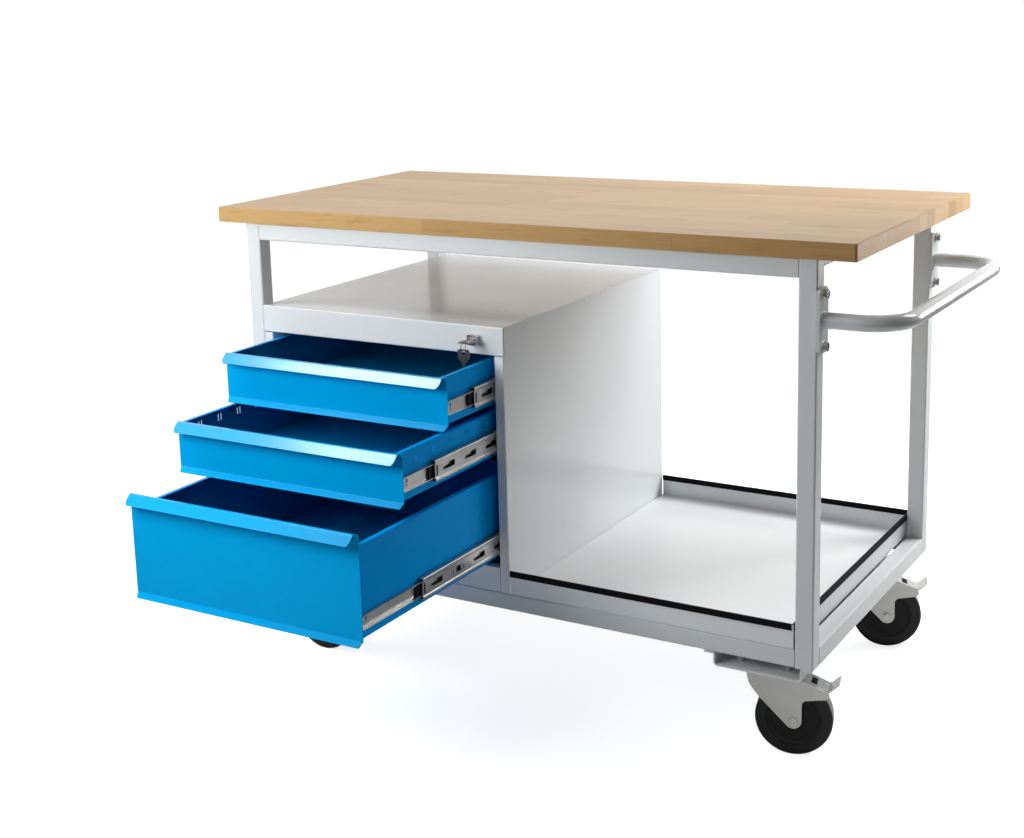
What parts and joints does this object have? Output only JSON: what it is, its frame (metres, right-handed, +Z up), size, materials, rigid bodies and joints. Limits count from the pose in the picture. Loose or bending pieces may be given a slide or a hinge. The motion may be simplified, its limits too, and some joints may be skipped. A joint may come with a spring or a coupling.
{
  "type": "workbench",
  "caption": "Mobile workbench with a beech top, a steel tube frame on casters, blue drawers in a grey cabinet, an open tray shelf and a push handle.",
  "frame": {"origin": "on the floor under the middle of the worktop", "axes": "+X along the worktop to the push handle, -Y to the drawer side, +Z up"},
  "size_m": [1.2735, 1.0251, 0.85],
  "materials": {
    "worktop": "oiled laminated beech",
    "frame": "light grey powder coat",
    "cabinet": "light grey powder coat",
    "tray": "light grey powder coat",
    "drawer": "blue powder coat",
    "zinc": "bright zinc plating",
    "bolts": "zinc plating",
    "rubber": "black rubber",
    "hub": "black moulded plastic",
    "cage": "black moulded plastic",
    "trim": "black edge strip",
    "lock": "bright plated",
    "key": "nickel plated"
  },
  "bodies": {
    "bench": {"legs_left": "frame", "legs_right": "frame", "top_rails": "frame", "lower_rails": "frame", "top_end_ties": "frame", "lower_end_rails": "frame", "hat_section_left": "frame", "hat_section_right": "frame", "handle_bar": "frame", "handle_ends": "frame", "worktop": "worktop", "cabinet_top": "cabinet", "cabinet_back": "cabinet", "cabinet_bottom": "cabinet", "cabinet_sill": "cabinet", "cabinet_left_side": "cabinet", "cabinet_right_side": "cabinet", "slide_posts": "cabinet", "tray": "tray", "tray_trim": "trim", "cabinet_slides": "zinc", "swivel_plates": "zinc", "fixed_forks": "zinc", "fixed_axles": "bolts", "caster_bolts": "bolts", "handle_bolts": "bolts", "lock_housing": "lock"},
    "drawer_1": {"drawer_front_1": "drawer", "drawer_tub_1": "drawer", "drawer_slides_1": "zinc"},
    "middle_1": {"middle_slides_1": "zinc", "slide_cages_1": "cage"},
    "drawer_2": {"drawer_front_2": "drawer", "drawer_tub_2": "drawer", "drawer_slides_2": "zinc"},
    "middle_2": {"middle_slides_2": "zinc", "slide_cages_2": "cage"},
    "drawer_3": {"drawer_front_3": "drawer", "drawer_tub_3": "drawer", "drawer_slides_3": "zinc"},
    "middle_3": {"middle_slides_3": "zinc", "slide_cages_3": "cage"},
    "swivel_front": {"swivel_fork_front": "zinc", "caster_axle_front": "bolts"},
    "wheel_right_front": {"tyre_right_front": "rubber", "hub_right_front": "hub"},
    "wheel_left_front": {"tyre_left_front": "rubber", "hub_left_front": "hub"},
    "pedal_front": {"brake_pedal_front": "zinc"},
    "swivel_back": {"swivel_fork_back": "zinc", "caster_axle_back": "bolts"},
    "wheel_right_back": {"tyre_right_back": "rubber", "hub_right_back": "hub"},
    "wheel_left_back": {"tyre_left_back": "rubber", "hub_left_back": "hub"},
    "pedal_back": {"brake_pedal_back": "zinc"},
    "lock": {"lock_cylinder": "lock", "key": "key"},
    "ring": {"key_ring": "key", "spare_key": "key"}
  },
  "joints": [
    {"name": "drawer_1_slide", "type": "slide", "parent": "bench", "child": "drawer_1", "axis": [0, -1, 0], "range_m": [-0.136, 0.364]},
    {"name": "middle_1_slide", "type": "slide", "parent": "bench", "child": "middle_1", "axis": [0, -1, 0], "range_m": [-0.0765, 0.20391]},
    {"name": "drawer_2_slide", "type": "slide", "parent": "bench", "child": "drawer_2", "axis": [0, -1, 0], "range_m": [-0.267, 0.233]},
    {"name": "middle_2_slide", "type": "slide", "parent": "bench", "child": "middle_2", "axis": [0, -1, 0], "range_m": [-0.199, 0.17372]},
    {"name": "drawer_3_slide", "type": "slide", "parent": "bench", "child": "drawer_3", "axis": [0, -1, 0], "range_m": [-0.389, 0.111]},
    {"name": "middle_3_slide", "type": "slide", "parent": "bench", "child": "middle_3", "axis": [0, -1, 0], "range_m": [-0.247, 0.07084]},
    {"name": "swivel_front_turn", "type": "hinge", "parent": "bench", "child": "swivel_front", "pos_m": [0.448, -0.24, 0.15], "axis": [0, 0, 1], "continuous": true},
    {"name": "wheel_right_front_spin", "type": "hinge", "parent": "swivel_front", "child": "wheel_right_front", "pos_m": [0.4839, -0.23105, 0.0625], "axis": [-0.2419, 0.9703, 0], "continuous": true},
    {"name": "pedal_front_press", "type": "hinge", "parent": "swivel_front", "child": "pedal_front", "pos_m": [0.48875, -0.22984, 0.131], "axis": [-0.2419, 0.9703, 0], "range_deg": [0, 10]},
    {"name": "wheel_left_front_spin", "type": "hinge", "parent": "bench", "child": "wheel_left_front", "pos_m": [-0.452, -0.24, 0.0625], "axis": [0, 1, 0], "continuous": true},
    {"name": "swivel_back_turn", "type": "hinge", "parent": "bench", "child": "swivel_back", "pos_m": [0.448, 0.24, 0.15], "axis": [0, 0, 1], "continuous": true},
    {"name": "wheel_right_back_spin", "type": "hinge", "parent": "swivel_back", "child": "wheel_right_back", "pos_m": [0.48277, 0.25265, 0.0625], "axis": [-0.342, 0.9397, 0], "continuous": true},
    {"name": "pedal_back_press", "type": "hinge", "parent": "swivel_back", "child": "pedal_back", "pos_m": [0.48747, 0.25436, 0.131], "axis": [-0.342, 0.9397, 0], "range_deg": [0, 10]},
    {"name": "wheel_left_back_spin", "type": "hinge", "parent": "bench", "child": "wheel_left_back", "pos_m": [-0.452, 0.24, 0.0625], "axis": [0, 1, 0], "continuous": true},
    {"name": "lock_turn", "type": "hinge", "parent": "bench", "child": "lock", "pos_m": [-0.057, -0.31, 0.651], "axis": [0, 1, 0], "range_deg": [0, 90]},
    {"name": "ring_swing", "type": "hinge", "parent": "lock", "child": "ring", "pos_m": [-0.057, -0.3422, 0.653], "axis": [1, 0, 0], "range_deg": [-12, 12]}
  ],
  "couplings": [
    {"joint": "middle_1_slide", "follows": "drawer_1_slide", "ratio": 0.55882},
    {"joint": "middle_2_slide", "follows": "drawer_2_slide", "ratio": 0.74345},
    {"joint": "middle_3_slide", "follows": "drawer_3_slide", "ratio": 0.63368}
  ]
}
